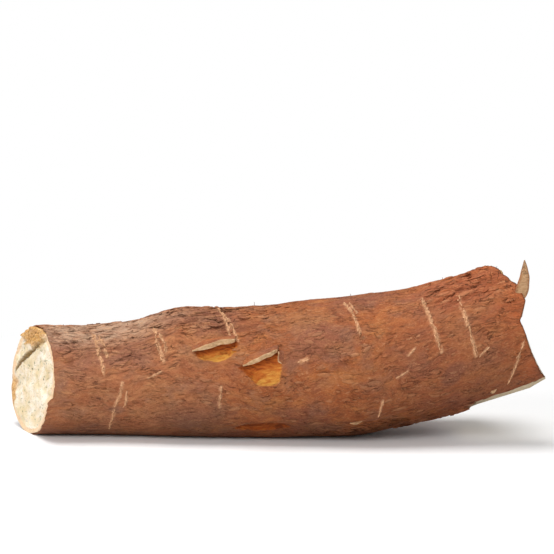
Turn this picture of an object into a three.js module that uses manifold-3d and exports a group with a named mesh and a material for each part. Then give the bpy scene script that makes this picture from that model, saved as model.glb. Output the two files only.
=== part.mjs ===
// A cassava root as it is sold: one thick, starchy root, broken off the plant at its stout end and snapped at
// its thin end. It lies on a table on its underside and bends up at the stout end.
//
// Units are millimetres. x runs along the root from the thin end to the stout end, y runs from the front to
// the back, and z is up from the table. A place on the skin is given by x and by an angle round the root in
// degrees: 0 at the back, 90 on top, 180 at the front and 270 underneath.
//
// The root grew as one piece, so it is one solid: flesh, rind and bark, with the torn strips of rind that
// still hang on it.

import * as THREE from "three";
import { ImprovedNoise } from "three/addons/math/ImprovedNoise.js";
import { mergeVertices } from "three/addons/utils/BufferGeometryUtils.js";
import Module from "manifold-3d";

const wasm = await Module();
wasm.setup();

const { degToRad, lerp, clamp, smoothstep } = THREE.MathUtils;
const perlin = new ImprovedNoise();

// The body: how high the underside is over the table, and half the root's height, at even stations. Where the
// underside is a little below zero the root's own weight rests, and it is flat there.
const FIRST_STATION = -155;
const STATION_STEP = 25;
const STATIONS = [
  [-0.7, 30.6],
  [-0.7, 30.9],
  [-0.8, 30.5],
  [-0.8, 31.8],
  [-0.8, 35.2],
  [-0.8, 35.8],
  [-0.8, 36.8],
  [-0.8, 38.3],
  [-0.6, 39.5],
  [4.6, 38.3],
  [10.6, 38.6],
  [17.0, 39.2],
  [23.0, 37.5],
];
const SIDEWAYS_BEND = 1.8;
const RIND_THICKNESS = 2.4;
const RESTING_HALF_ANGLE = 14;

// The thin end is snapped across on a slope: its middle is here, and its back edge is longer than its front.
const THIN_END = -136.5;
const THIN_END_LEAN_BACK = 17.7;
const THIN_END_LEAN_UP = 3.7;

// The broken edges. The thin end's is given by how far it strays from the slope at some angles, and the stout
// end's by where it is at some angles, with a long tongue of bark low on the front.
const THIN_EDGE = [
  [95, 0],
  [125, -1],
  [150, 0.5],
  [188, 1.5],
  [193, -1.5],
  [215, -1],
  [250, 0],
];
const STOUT_EDGE = [
  [0, 110],
  [35, 107],
  [65, 112],
  [90, 118],
  [119, 123.5],
  [130, 129],
  [148, 133],
  [164, 130],
  [190, 136],
  [204, 140],
  [222, 146],
  [229, 138],
  [236, 107],
  [257, 99],
  [300, 99],
  [330, 104],
];
const STOUT_END_HOLLOW = 109;

// How finely the skin and the two broken faces are divided.
const AROUND = 64;
const ALONG = 49;
const FACE_ROWS = [1 - RIND_THICKNESS / 35, 0.8, 0.62, 0.43, 0.22, 0];

const bodyCurve = new THREE.CatmullRomCurve3(
  STATIONS.map(([underside, half]) => new THREE.Vector3(underside, half, 0)),
  false,
  "catmullrom",
  0.5,
);
const BODY_LENGTH = STATION_STEP * (STATIONS.length - 1);

// The middle of the root's section at x, and half its height.
function section(x) {
  const { x: underside, y: half } = bodyCurve.getPoint(clamp((x - FIRST_STATION) / BODY_LENGTH, 0, 1));
  return { y: SIDEWAYS_BEND * Math.cos((x + 100) / 45), z: underside + half, half };
}

// The point at a height over the smooth skin. Nothing reaches below the table.
function skin(x, angle, height = 0) {
  const { y, z, half } = section(x);
  const a = degToRad(angle);
  const lobes = 0.012 * Math.sin(2 * a + x / 40) + 0.01 * Math.sin(3 * a - x / 25);
  const radius = half * (1 + lobes) + height;
  return new THREE.Vector3(x, y + radius * Math.cos(a), Math.max(z + radius * Math.sin(a), 0));
}

// The value at an angle on a broken edge, on straight lines between the given angles.
function edgeValue(edge, angle) {
  const a = ((angle % 360) + 360) % 360;
  const after = edge.findIndex(([at]) => at > a);
  const [toAngle, toValue] = after < 0 ? [edge[0][0] + 360, edge[0][1]] : edge[after];
  const last = edge.at(-1);
  const [fromAngle, fromValue] = after === 0 ? [last[0] - 360, last[1]] : edge.at(after < 0 ? -1 : after - 1);
  return lerp(fromValue, toValue, (a - fromAngle) / (toAngle - fromAngle));
}

function thinEdge(angle) {
  const a = degToRad(angle);
  const slope = THIN_END_LEAN_UP * Math.sin(a) - THIN_END_LEAN_BACK * Math.cos(a);
  return THIN_END + slope + edgeValue(THIN_EDGE, angle);
}

function stoutEdge(angle) {
  return edgeValue(STOUT_EDGE, angle);
}

// The bark's relief: broad lumps, wrinkles that run lengthwise, and scales, a little larger than life.
function bark(x, angle) {
  const a = degToRad(angle);
  const y = 35 * Math.cos(a);
  const z = 35 * Math.sin(a);
  const lumps = 1.1 * perlin.noise(x / 45, y / 24, z / 24);
  const wrinkles = 0.8 - 2.2 * Math.abs(perlin.noise(x / 26, y / 8, z / 8));
  const scales = 0.35 * Math.sign(perlin.noise(x / 13, y / 6 + 40, z / 6));
  const offUnderside = smoothstep(Math.abs((((angle % 360) + 360) % 360) - 270), RESTING_HALF_ANGLE, 28);
  return (lumps + wrinkles + scales) * offUnderside;
}

function barkPoint(share, angle) {
  const x = lerp(thinEdge(angle), stoutEdge(angle), share);
  return skin(x, angle, bark(x, angle));
}

// A point on a broken face. share is 1 at its edge and 0 in its middle. The thin end's face is nearly flat,
// and the stout end's is torn into a hollow with a step across it.
function thinFacePoint(share, angle) {
  const rim = barkPoint(0, angle);
  const middle = section(THIN_END);
  const y = lerp(middle.y, rim.y, share);
  const z = lerp(middle.z, rim.z, share);
  const bumps = 2.2 * perlin.noise(y / 13, z / 13, 3.5) * (1 - share ** 4);
  return new THREE.Vector3(lerp(THIN_END, rim.x, share) + bumps, y, z);
}

function stoutFacePoint(share, angle) {
  const rim = barkPoint(1, angle);
  const middle = section(STOUT_END_HOLLOW);
  const y = lerp(middle.y, rim.y, share);
  const z = lerp(middle.z, rim.z, share);
  const step = 6 * smoothstep(z - middle.z + 0.5 * (y - middle.y), -4, 4);
  const bumps = 3 * perlin.noise(y / 15, z / 15, 8.5);
  const floor = STOUT_END_HOLLOW - 4 + 0.1 * (z - middle.z) + step + bumps;
  return new THREE.Vector3(lerp(floor, rim.x, share ** 4), y, z);
}

// A closed mesh as a solid that can be cut and joined.
function solid(geometry) {
  const bare = geometry.clone();
  bare.deleteAttribute("normal");
  bare.deleteAttribute("uv");
  const merged = mergeVertices(bare, 1e-4);
  const mesh = new wasm.Mesh({
    numProp: 3,
    vertProperties: new Float32Array(merged.attributes.position.array),
    triVerts: new Uint32Array(merged.index.array),
  });
  return new wasm.Manifold(mesh);
}

// Moves each vertex of a geometry to where place(vertex) says.
function shaped(geometry, place) {
  const position = geometry.attributes.position;
  const vertex = new THREE.Vector3();
  for (let i = 0; i < position.count; i++) {
    const { x, y, z } = place(vertex.fromBufferAttribute(position, i), i);
    position.setXYZ(i, x, y, z);
  }
  return geometry;
}

// The root's body is a globe drawn out along x: its poles are the middles of the broken faces, the rows next
// to them make the faces, and the rows between make the bark.
function body() {
  const rows = ALONG + 2 * FACE_ROWS.length;
  const globe = new THREE.SphereGeometry(1, AROUND, rows);
  return shaped(globe, (vertex, i) => {
    const row = Math.floor(i / (AROUND + 1));
    const angle = ((i % (AROUND + 1)) % AROUND) * (360 / AROUND) - 90;
    const rowsFromStoutEdge = row - FACE_ROWS.length;
    const rowsFromThinEdge = rowsFromStoutEdge - ALONG;
    if (rowsFromStoutEdge < 0) return stoutFacePoint(FACE_ROWS.at(-rowsFromStoutEdge - 1), angle);
    if (rowsFromThinEdge > 0) return thinFacePoint(FACE_ROWS[rowsFromThinEdge - 1], angle);
    return barkPoint(1 - rowsFromStoutEdge / ALONG, angle);
  });
}

// A corky scar across the bark, where a fine side root came out: a low ridge between two places on the skin.
function scar([x0, angle0], [x1, angle1], width) {
  const height = 0.9;
  const sunk = 0.4;
  return shaped(new THREE.SphereGeometry(1, 7, 6), ({ x: across, y: along, z: up }) => {
    const share = (1 - along) / 2;
    const x = lerp(x0, x1, share) + (across * width) / 2;
    const angle = lerp(angle0, angle1, share);
    return skin(x, angle, bark(x, angle) - sunk + up * (height + sunk));
  });
}

// A place where the bark is knocked off: a shallow hollow as deep as the rind.
function bareCutter({ x, angle, length, width, depth }) {
  const above = 3;
  const arc = width / degToRad(section(x).half);
  return shaped(new THREE.SphereGeometry(1, 12, 8), ({ x: across, y: along, z: up }) => {
    const height = above / 2 - depth / 2 + (up * (above + depth)) / 2;
    return skin(x + (along * length) / 2, angle + (across * arc) / 2, height);
  });
}

// A strip of rind that has come loose. Its hinge is a line under the skin. From there it runs round the root
// by reach and rises, until its outer face stands off the skin by lift. Its free edge is narrower by taper.
function flap({ from, to, reach, lift, thickness, taper }) {
  const sunk = 3;
  return shaped(new THREE.BoxGeometry(1, 1, 1, 5, 3, 1), ({ x: along, y: out, z: up }) => {
    const free = 0.5 - out;
    const share = 0.5 + along * (1 - taper * free);
    const x = lerp(from[0], to[0], share);
    const angle = lerp(from[1], to[1], share) + (free * reach) / degToRad(section(x).half);
    const height = lerp(-sunk, lift, free) + (up - 0.5) * thickness * (1 - 0.5 * free);
    return skin(x, angle, height);
  });
}

// The thin spike of rind that stands up from the stout end's edge.
function spike() {
  const height = 18;
  const width = 6;
  const thickness = 2;
  const foot = skin(131.5, 140, -RIND_THICKNESS / 2);
  return shaped(new THREE.BoxGeometry(1, 1, 1, 2, 5, 1), ({ x: across, y: deep, z: up }) => {
    const share = deep + 0.5;
    const narrow = 1 - 0.92 * share ** 1.4;
    const bow = 1.6 * Math.sin(Math.PI * share);
    return new THREE.Vector3(
      foot.x + across * width * narrow + bow - 0.8 * share,
      foot.y - up * thickness * narrow - 1.5 * share,
      foot.z - 4 + (height + 4) * share,
    );
  });
}

// The gash across the thin end's face, from near its middle to its back edge: a groove, narrow at its bottom.
function gashCutter() {
  const from = new THREE.Vector3(-139, 7, 46.5);
  const to = new THREE.Vector3(-151, 26, 36);
  const width = 3;
  const depth = 3.2;
  return shaped(new THREE.BoxGeometry(1, 1, 1, 1, 4, 1), ({ x: across, y: along, z: deep }) => {
    const point = from.clone().lerp(to, along + 0.5);
    const side = across * width * lerp(1, 0.35, deep + 0.5) * (1 - 1.4 * along ** 2);
    return point.add(new THREE.Vector3(2 * deep * depth, -0.4 * side, -side));
  });
}

const SCARS = [
  [[-101, 116], [-94, 165], 2.8],
  [[-84, 174], [-92, 228], 2.6],
  [[-67, 122], [-61, 160], 3.2],
  [[-32, 96], [-23, 145], 3],
  [[37.5, 108], [44.5, 146], 2.4],
  [[78.5, 119], [87.5, 172], 2.8],
  [[97.5, 128], [106, 183], 3],
  [[131, 182], [125, 215], 1.6],
  [[-30, 184], [-31, 202], 1.8],
  [[56.5, 201], [55, 216], 1.6],
];
// The back's scars lie where these come out, at angles that the front doesn't show.
const BACK_SCARS = 10;
const BACK_FIRST_ANGLE = -50;
const BACK_LAST_ANGLE = 75;

// Pseudo-random numbers from 0 to 1 that are the same on each run.
function numbersFrom(seed) {
  let state = seed;
  return () => {
    state = (Math.imul(state, 1664525) + 1013904223) >>> 0;
    return state / 2 ** 32;
  };
}

function backScars() {
  const next = numbersFrom(7);
  return Array.from({ length: BACK_SCARS }, (_, i) => {
    const x = lerp(-135, 92, (i + 0.8 * next()) / BACK_SCARS);
    const sweep = lerp(18, 48, next());
    const angle = lerp(BACK_FIRST_ANGLE, BACK_LAST_ANGLE - sweep, next());
    return scar([x, angle], [x + lerp(-6, 6, next()), angle + sweep], lerp(1.8, 3, next()));
  });
}

const BARE_PATCHES = [
  { x: -32.8, angle: 153.5, length: 24, width: 9, depth: 1.6 },
  { x: -5.5, angle: 171, length: 23, width: 15, depth: 1.7 },
  { x: -9.5, angle: 229, length: 27, width: 6, depth: 0.9 },
];

const FLAPS = [
  { from: [-45, 139], to: [-21, 135], reach: 9, lift: 5, thickness: 2.4, taper: 0.1 },
  { from: [-19, 155.5], to: [8, 146], reach: 8.5, lift: 5, thickness: 2.2, taper: 0.3 },
  { from: [37, 210], to: [51, 209], reach: 7, lift: 4, thickness: 1.8, taper: 0.2 },
  { from: [115, 211], to: [124, 208], reach: 7, lift: 3.5, thickness: 1.8, taper: 0.3 },
];

const { union } = wasm.Manifold;
const hollows = [...BARE_PATCHES.map(bareCutter), gashCutter()].map(solid);
const ridges = [...SCARS.map((line) => scar(...line)), ...backScars()].map(solid);
const strips = [...FLAPS.map(flap), spike()].map(solid);
const root = union([solid(body()).subtract(union(hollows)), ...ridges, ...strips]);

// Cuts and joins leave slivers where two skins graze. Edges shorter than this are closed up.
const SHORTEST_EDGE = 0.05;
const { vertProperties, triVerts } = root.simplify(SHORTEST_EDGE).getMesh();
const geometry = new THREE.BufferGeometry();
geometry.setAttribute("position", new THREE.BufferAttribute(vertProperties, 3));
geometry.setIndex(new THREE.BufferAttribute(triVerts, 1));
geometry.computeVertexNormals();

// The origin is on the table, under the middle of the root's box.
geometry.computeBoundingBox();
const middle = geometry.boundingBox.getCenter(new THREE.Vector3());
geometry.translate(-middle.x, -middle.y, 0);

const barkMaterial = new THREE.MeshStandardMaterial({ color: 0x9f6340, roughness: 0.82, metalness: 0 });
const cassavaRoot = new THREE.Mesh(geometry, barkMaterial);
cassavaRoot.name = "cassava_root";

const group = new THREE.Group();
group.add(cassavaRoot);

export default group;
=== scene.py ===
# The looks of a cassava root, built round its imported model.
#
# Sizes are in millimetres, and places are those of the part's drawing: x runs along the root from the thin
# end to the stout end, y from the front to the back, and z up from the table. A place on the skin is given
# by x and by an angle round the root in degrees: 0 at the back, 90 on top, 180 at the front and 270 below.

import math
from itertools import product

import bpy
import numpy as np
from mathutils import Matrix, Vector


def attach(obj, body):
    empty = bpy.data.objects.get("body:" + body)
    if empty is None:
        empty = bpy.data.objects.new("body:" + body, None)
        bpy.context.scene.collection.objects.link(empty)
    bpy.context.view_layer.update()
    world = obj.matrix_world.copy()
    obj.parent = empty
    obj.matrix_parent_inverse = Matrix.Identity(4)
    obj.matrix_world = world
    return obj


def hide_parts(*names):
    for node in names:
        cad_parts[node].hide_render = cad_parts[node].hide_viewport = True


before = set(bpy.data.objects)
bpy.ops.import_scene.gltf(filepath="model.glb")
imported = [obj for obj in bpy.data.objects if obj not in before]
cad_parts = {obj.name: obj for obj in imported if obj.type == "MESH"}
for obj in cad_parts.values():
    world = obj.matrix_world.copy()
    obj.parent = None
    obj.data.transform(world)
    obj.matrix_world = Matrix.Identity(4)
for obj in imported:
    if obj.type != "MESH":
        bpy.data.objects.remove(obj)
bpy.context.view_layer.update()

bpy.ops.object.select_all(action="DESELECT")

# The body: one swollen root, bent up at the stout end, in thin corky bark over a cream rind. The bark split
# and wrinkled lengthwise as the root grew, and was scraped off in three places when it was dug up and
# handled.

# Where the drawing's zero is in the frame.
DRAWING_X = 4.73
DRAWING_Y = 1.21

# The root's section at even stations along it.
FIRST_STATION = -155
STATION_STEP = 25
UNDERSIDE = [-0.7, -0.7, -0.8, -0.8, -0.8, -0.8, -0.8, -0.8, -0.6, 4.6, 10.6, 17.0, 23.0]
HALF_HEIGHT = [30.6, 30.9, 30.5, 31.8, 35.2, 35.8, 36.8, 38.3, 39.5, 38.3, 38.6, 39.2, 37.5]
SIDEWAYS_BEND = 1.8
BEND_FROM = -100
BEND_LENGTH = 45
# The lobes that make the section a little uneven: each one's height as a share of the radius, how many go
# round, and how many mm along the root turn it by a radian.
LOBES = [(0.012, 2, 40), (0.01, 3, -25)]
MIDDLE_RADIUS = 35
ARC_OF_DEGREE = math.radians(MIDDLE_RADIUS)
RIND_THICKNESS = 2.4

# Where the two broken edges are. Each list gives places at angles round the root.
THIN_END = -136.5
THIN_END_LEAN_BACK = 17.7
THIN_END_LEAN_UP = 3.7
THIN_EDGE = [(95, 0), (125, -2.2), (150, -2.4), (188, -1.8), (193, -4.2), (215, -3), (250, 0)]
STOUT_EDGE = [
    (0, 110), (35, 107), (65, 112), (90, 118), (119, 123.5), (130, 129), (148, 133), (164, 130),
    (190, 136), (204, 140), (223, 146), (232, 138), (239, 107), (257, 99), (300, 99), (330, 104),
]
# The stout end's face sinks from its edge to a hollow middle, as a power of the share of the way out.
STOUT_END_HOLLOW = 109
STOUT_SINK_POWER = 4

# How many corners the bark's mesh has round the root and along it. It stops a little short of each edge.
AROUND = 330
BARK_ROWS = 286
EDGE_INSET = 0.3
# The bark's hidden rows behind each broken face, as shares of the way out from the middle, and how deep
# they lie: the outermost, which is the lip of the broken rind, hardly at all.
HIDDEN_SHARES = [0, 0.3, 0.6, 0.8, 0.9, 0.975, 0.985]
HIDDEN_DEPTH = 3
LIP_DEPTH = 0.2
BEHIND_HOLLOW = 10
# The sizes of the bark's relief, lengthwise and twice crosswise, and the heights of its sharpest parts.
SWELLS = (45, 24, 24)
LONG_FOLDS = (30, 5.8, 5.8)
RIPPLES = (10, 2.4, 2.4)
DASHES = (6, 1.5, 1.5)
FLAKY_SCALES = (10, 3.6, 3.6)
FINE_GRAIN = (2.4, 1.2, 1.2)
CRACK_DEPTH = 1.0
DASH_DEPTH = 0.45
SCAR_HEIGHT = 0.5
# How far the bark's grain strays from the root's length, in long waves and in short ones.
GRAIN_WANDER = 3.2
GRAIN_RIPPLE = 0.9
RANDOM_SEED = 41


def stations(values, x):
    """Values that are given at even stations along the root, joined by a smooth curve."""
    ends = np.array([2 * values[0] - values[1], *values, 2 * values[-1] - values[-2]])
    place = np.clip((x - FIRST_STATION) / STATION_STEP, 0, len(values) - 1)
    first = np.minimum(place.astype(int), len(values) - 2)
    t = place - first
    a, b, c, d = (ends[first + k] for k in range(4))
    return b + 0.5 * t * (c - a + t * (2 * a - 5 * b + 4 * c - d + t * (3 * (b - c) + d - a)))


def section(x):
    """The middle of the root's section at x, as y and z, and half its height."""
    half = stations(HALF_HEIGHT, x)
    y = SIDEWAYS_BEND * np.cos((x - BEND_FROM) / BEND_LENGTH)
    return y, stations(UNDERSIDE, x) + half, half


def skin(x, angle, height=0.0):
    """The point at a height over the smooth skin. Nothing reaches below the table."""
    x, angle, height = np.broadcast_arrays(np.asarray(x, float), angle, height)
    y, z, half = section(x)
    turn = np.radians(angle)
    lobes = sum(share * np.sin(number * turn + x / length) for share, number, length in LOBES)
    radius = half * (1 + lobes) + height
    return np.stack([x, y + radius * np.cos(turn), np.maximum(z + radius * np.sin(turn), 0)], -1)


def rolled(x, angle):
    """A place on a plain round bar as thick as the root, on which the bark's patterns are worked out."""
    turn = np.radians(angle)
    return np.stack([x, MIDDLE_RADIUS * np.cos(turn), MIDDLE_RADIUS * np.sin(turn)], -1)


def edge_at(edge, angle):
    """The value at an angle on a broken edge."""
    angles, values = zip(*edge)
    return np.interp(angle, angles, values, period=360)


def thin_edge(angle):
    """Where along the root the thin end's broken edge is."""
    turn = np.radians(angle)
    slope = THIN_END_LEAN_UP * np.sin(turn) - THIN_END_LEAN_BACK * np.cos(turn)
    return THIN_END + slope + edge_at(THIN_EDGE, angle)


def stout_edge(angle):
    """Where along the root the stout end's broken edge is."""
    return edge_at(STOUT_EDGE, angle)


# Noise and scales look up their own draws by cells of space, so they give the same wherever they are asked.
draw = np.random.default_rng(RANDOM_SEED)
ORDER = draw.permutation(256)
SLOPES = draw.normal(size=(256, 3))
SLOPES /= np.linalg.norm(SLOPES, axis=1, keepdims=True)
CELL_DRAWS = draw.random((256, 4))


def cell_number(cell):
    """A number from 0 to 255 that belongs to a cell of space."""
    x, y, z = np.moveaxis(cell & 255, -1, 0)
    return ORDER[(ORDER[(ORDER[x] + y) & 255] + z) & 255]


def noise(points, size, seed=0.0):
    """Smooth noise from about -1 to 1. size is that of its lumps, or one size for each axis."""
    place = points / np.asarray(size, float) + seed
    cell = np.floor(place).astype(int)
    within = place - cell
    blend = within**3 * (within * (within * 6 - 15) + 10)
    total = np.zeros(len(place))
    for corner in product((0, 1), repeat=3):
        weight = np.prod(np.where(corner, blend, 1 - blend), axis=-1)
        total += weight * np.sum(SLOPES[cell_number(cell + corner)] * (within - corner), axis=-1)
    return 1.5 * total


def scales(points, size, seed=0.0):
    """Cells of about a size. Returns how far in from its cell's rim each point is, and the cell's draws."""
    place = points / np.asarray(size, float) + seed
    cell = np.floor(place).astype(int)
    nearest = np.full(len(place), 9.0)
    second = nearest.copy()
    owner = np.zeros(len(place), int)
    for corner in product((-1, 0, 1), repeat=3):
        number = cell_number(cell + corner)
        away = np.linalg.norm(cell + corner + CELL_DRAWS[number, :3] - place, axis=-1)
        closer = away < nearest
        second = np.where(closer, nearest, np.minimum(second, away))
        owner = np.where(closer, number, owner)
        nearest = np.where(closer, away, nearest)
    return second - nearest, CELL_DRAWS[owner]


def smooth(value, low=0.0, high=1.0):
    """0 up to low, 1 from high on, and an even S between them."""
    share = np.clip((value - low) / (high - low), 0, 1)
    return share * share * (3 - 2 * share)


def turn_from(angle, start):
    """Degrees from start to angle, the short way round."""
    return (angle - start + 180) % 360 - 180


def oval(first, second, reach):
    """1 in the middle of an oval, and 0 at its edge."""
    return 1 - np.hypot(first / reach[0], second / reach[1])


def spot(x, angle, middle, reach, lean=0.0):
    """1 in the middle of an oval place on the skin, and 0 at its edge. reach is in mm along and in degrees
    round, and lean slants the oval by degrees for each mm."""
    along = x - middle[0]
    return oval(along, turn_from(angle, middle[1]) + lean * along, reach)


def off_stretch(along, across, run, rise):
    """How far a point is from a straight stretch of line that goes from zero to run and rise."""
    share = np.clip((along * run + across * rise) / (run**2 + rise**2), 0, 1)
    return np.hypot(along - share * run, across - share * rise)


def line_distance(x, angle, line):
    """How far a place on the skin is from a line of places, in mm."""
    nearest = np.full(np.shape(x), 1e3)
    for (x0, angle0), (x1, angle1) in zip(line, line[1:]):
        across = turn_from(angle, angle0) * ARC_OF_DEGREE
        rise = (angle1 - angle0) * ARC_OF_DEGREE
        nearest = np.minimum(nearest, off_stretch(x - x0, across, x1 - x0, rise))
    return nearest


# Corky scars where fine side roots came out, as lines on the skin with their widths.
SCARS = [
    ([(-101, 117), (-98, 131), (-97, 143)], 2.2),
    ([(-97, 143), (-94.5, 152), (-94, 165)], 1.8),
    ([(-97.5, 121), (-94, 136), (-92, 147)], 1.0),
    ([(-83.5, 174), (-85, 187), (-88, 198)], 1.3),
    ([(-88, 203), (-90, 214), (-92, 229)], 1.4),
    ([(-81, 184), (-81.5, 192), (-83, 199)], 0.9),
    ([(-67, 122), (-65, 138), (-61, 160)], 1.8),
    ([(-64, 130), (-61, 141), (-60, 150)], 0.9),
    ([(-33, 95), (-30, 108), (-26.5, 128), (-24.5, 142)], 1.3),
    ([(-29.5, 110), (-25, 124), (-21, 143)], 1.2),
    ([(37, 106), (41, 124), (44.5, 146)], 1.1),
    ([(39.5, 107), (43, 123)], 0.9),
    ([(78.5, 119), (83, 148), (87.5, 172)], 1.5),
    ([(97.5, 128), (101.5, 156), (106, 183)], 1.6),
    ([(131, 182), (124.5, 216)], 0.9),
    ([(-30, 184), (-31, 202)], 1.3),
    ([(-69, 172), (-62, 168)], 1.1),
    ([(56.5, 201), (55, 216)], 1.0),
    ([(64.5, 184), (69, 181)], 1.0),
    ([(108.5, 183), (112, 179.5)], 0.8),
    ([(70, 168), (73.5, 164)], 0.8),
    ([(12, 165), (16, 163.5)], 1.6),
]
# The scars on the back, which the photograph doesn't show, are spread along it by chance.
BACK_SCARS = 12
BACK_FROM = -132
BACK_LENGTH = 228
for number in range(BACK_SCARS):
    start = BACK_FROM + BACK_LENGTH * (number + 0.8 * draw.random()) / BACK_SCARS
    sweep = draw.uniform(18, 48)
    first_angle = draw.uniform(-50, 78 - sweep)
    bow = draw.uniform(-3, 3)
    lean = draw.uniform(-6, 6)
    middle = (start + lean / 2 + bow, first_angle + sweep / 2)
    line = [(start, first_angle), middle, (start + lean, first_angle + sweep)]
    SCARS.append((line, draw.uniform(1.0, 1.9)))

# Where the bark and some rind are scraped off: each one's depth, its outline of places, the line near its
# upper edge that its colour pales away from, darkest there as painted shade under that edge and any strip
# over it, and how many mm that takes.
BARE_PATCHES = [
    (1.7, [
        (-45, 152), (-40, 149), (-31, 145.5), (-22, 142.5), (-21, 147),
        (-22, 153), (-26, 158.5), (-32, 161.5), (-39, 160), (-43, 156.5),
    ], [(-47, 149), (-20, 140)], 10),
    (1.5, [
        (-21, 167.5), (-17, 163), (-9, 157), (-1, 152), (1, 155), (2.5, 164),
        (2, 176), (1, 181), (-4, 183.5), (-10, 182.5), (-14, 178), (-17.5, 171),
    ], [(-22, 160.5), (3, 143)], 23),
    (0.7, [
        (-24, 226), (-16, 221), (-6, 219.5), (4, 220.5), (7, 226), (-8, 232), (-20, 230),
    ], [(-24, 214), (6, 214)], 25),
]
# Where the bark is coarsest, and how far these places reach.
GNARLED = [((-75, 105), (110, 58)), ((118, 98), (62, 60)), ((70, 240), (75, 26)), ((-20, 20), (150, 62))]
# The strip along the stout end's low front edge where the bark is peeled back off the rind: its upper side,
# as places, and the angle that it goes down to.
PEELED_EDGE = [(104, 231), (112, 229.5), (121, 228), (128.5, 226.5), (135, 224), (143, 221), (147, 219)]
PEELED_TO = 262
# Blotches in the bark's colour, some of the dark ones painted shade: each one's strength, middle, reach,
# lean, and the share of the way in from its edge at which it is full.
WEATHERED = [(1, (-105, 108), (75, 42), 0, 0.8)]
WARM = [
    (1, (133, 152), (26, 34), 0, 0.8),
    (1, (138, 206), (20, 26), 0, 0.9),
    (0.9, (108, 112), (50, 40), 0, 0.6),
]
# The dark ones: those at 112 and 92 mm along are painted shade over the right of the front.
DUSKY_AND_SHADE = [
    (1, (94, 193), (10, 15), 0.5, 0.6),
    (0.7, (-45, 215), (34, 24), 0, 0.9),
    (0.6, (112, 185), (26, 26), 0, 0.9),
    (0.35, (92, 180), (60, 60), 0, 0.6),
    (0.7, (-87, 203), (6, 7), 0, 0.6),
]


def depth_inside(x, angle, outline):
    """How far inside a closed outline of places a place on the skin is, in mm. It is below 0 outside."""
    closed = [*outline, outline[0]]
    within = np.zeros(len(x), bool)
    for (x0, angle0), (x1, angle1) in zip(closed, closed[1:]):
        crosses = (angle < angle0) != (angle < angle1)
        within ^= crosses & (x < x0 + (x1 - x0) * (angle - angle0) / ((angle1 - angle0) or 1))
    return np.where(within, 1, -1) * line_distance(x, angle, closed)


def blotches(x, angle, places):
    """The strongest of some blotches at a place on the skin."""
    return np.maximum.reduce([
        strength * smooth(spot(x, angle, middle, reach, lean), 0, full)
        for strength, middle, reach, lean, full in places
    ])


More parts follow.
